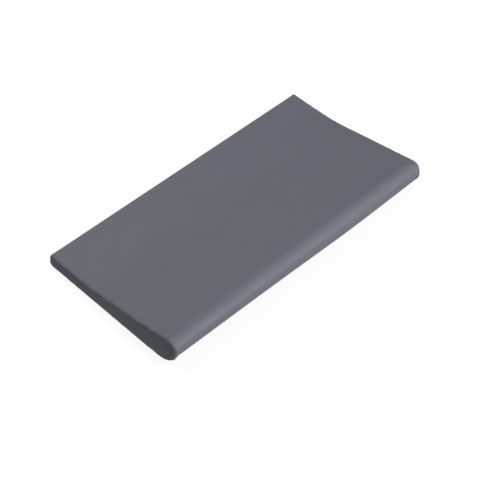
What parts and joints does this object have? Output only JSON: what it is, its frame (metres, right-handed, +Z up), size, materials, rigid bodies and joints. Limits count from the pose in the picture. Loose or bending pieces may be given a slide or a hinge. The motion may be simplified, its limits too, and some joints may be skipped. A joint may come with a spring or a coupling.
{
  "type": "kneeling pad",
  "caption": "Wedge-shaped garden kneeling pad with a flat tail, a sloped top and a rolled front edge, in a sewn grey leatherette cover that zips along the back.",
  "frame": {"origin": "centre of the bounding rectangle on the floor, under the pad", "axes": "+X along the length, to the right as seen from the rolled front edge; +Y from the rolled front edge to the zipped back edge; +Z up from the floor"},
  "size_m": [0.6, 0.322, 0.061],
  "materials": {
    "leatherette": "smooth soft-sheen grey leatherette with a fine grain",
    "base_cloth": "matt charcoal cloth with small rubbery grip dots",
    "thread": "bonded grey sewing thread",
    "zip_cloth": "woven charcoal tape",
    "zip_nylon": "charcoal nylon coil",
    "zip_metal": "gunmetal painted die casting",
    "foam_firm": "dark closed-cell foam",
    "foam_soft": "cream open-cell foam"
  },
  "bodies": {
    "pad": {"cover_top": "leatherette", "cover_base": "base_cloth", "end_panel_left": "leatherette", "end_panel_right": "leatherette", "back_strip_upper": "leatherette", "back_strip_lower": "leatherette", "zip_end_tab_left": "leatherette", "zip_end_tab_right": "leatherette", "zip_tape_upper": "zip_cloth", "zip_tape_lower": "zip_cloth", "zip_coil_upper": "zip_nylon", "zip_coil_lower": "zip_nylon", "zip_top_stops": "zip_metal", "zip_bottom_stop": "zip_metal", "foam_base": "foam_firm", "foam_wedge": "foam_soft", "nose_core": "foam_firm", "comfort_layer": "foam_soft"},
    "zip_slider": {"zip_slider": "zip_metal"},
    "zip_pull": {"zip_pull": "zip_metal"}
  },
  "joints": [
    {"name": "zip_slide", "type": "slide", "parent": "pad", "child": "zip_slider", "axis": [-1, 0, 0], "range_m": [0, 0.524]},
    {"name": "zip_pull_flip", "type": "hinge", "parent": "zip_slider", "child": "zip_pull", "pos_m": [0.262, 0.15945, 0.014], "axis": [0, 0, 1], "range_deg": [0, 180]}
  ]
}
